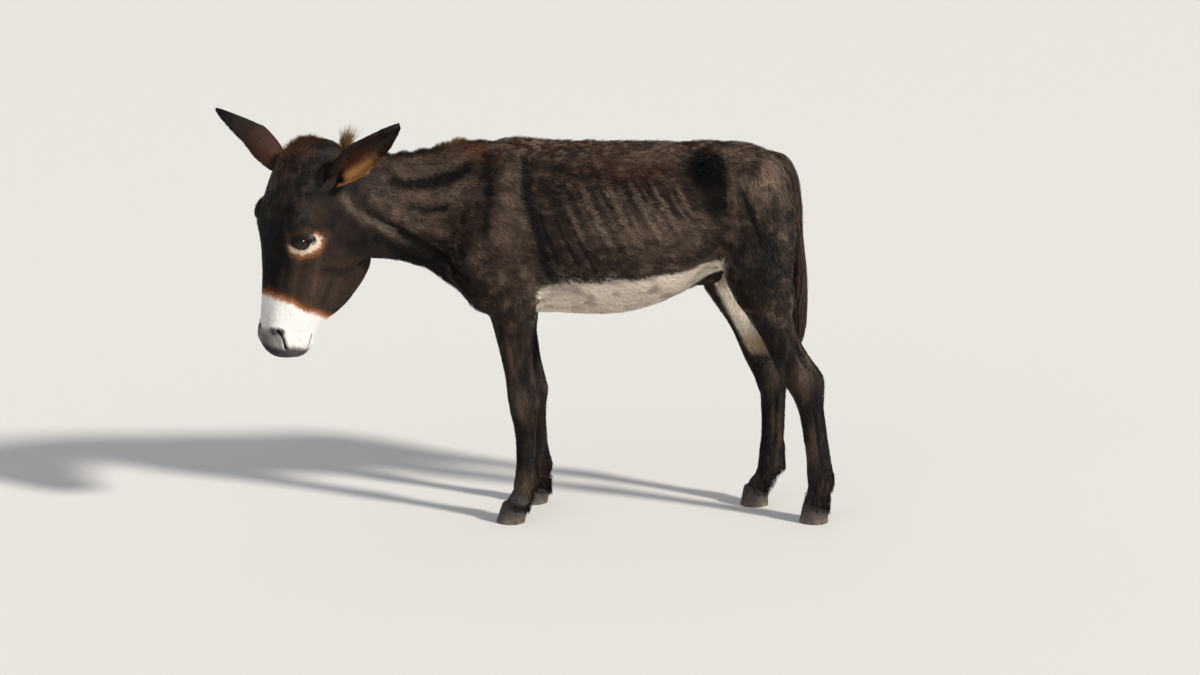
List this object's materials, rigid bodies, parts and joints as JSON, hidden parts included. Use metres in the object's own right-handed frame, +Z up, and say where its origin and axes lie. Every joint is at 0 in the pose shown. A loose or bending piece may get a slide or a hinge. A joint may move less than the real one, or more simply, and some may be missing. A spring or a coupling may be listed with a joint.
{
  "type": "donkey",
  "caption": "Young dark-coated donkey standing still on its hooves, head turned to its left and hanging low, ears spread, with pale muzzle, eye rings and belly.",
  "frame": {"origin": "on the floor, under the middle of the animal's whole box", "axes": "+Z up; the donkey faces -X, and its left side faces -Y; its head is turned to its left"},
  "size_m": [1.4608, 0.3942, 0.9828],
  "materials": {
    "coat": "short very dark brown fur lying flat, greyer where it catches the light; the muzzle, eye rings and belly are off-white",
    "coat_dark": "short near-black fur of the legs and tail, off-white on the inner thighs",
    "hair": "coarse sparse dark hair with rusty tips, standing in tufts",
    "horn": "dry grey-brown hoof horn, dusty",
    "eye": "wet dark brown eye"
  },
  "bodies": {
    "root": {"trunk": "coat", "neck": "coat", "head": "coat", "foreleg_left": "coat_dark", "foreleg_right": "coat_dark", "hindleg_left": "coat_dark", "hindleg_right": "coat_dark", "tail": "coat_dark", "mane": "hair", "forelock": "hair", "ear_left": "coat", "ear_right": "coat", "eye_left": "eye", "eye_right": "eye", "hoof_fore_left": "horn", "hoof_fore_right": "horn", "hoof_hind_left": "horn", "hoof_hind_right": "horn"}
  },
  "joints": []
}
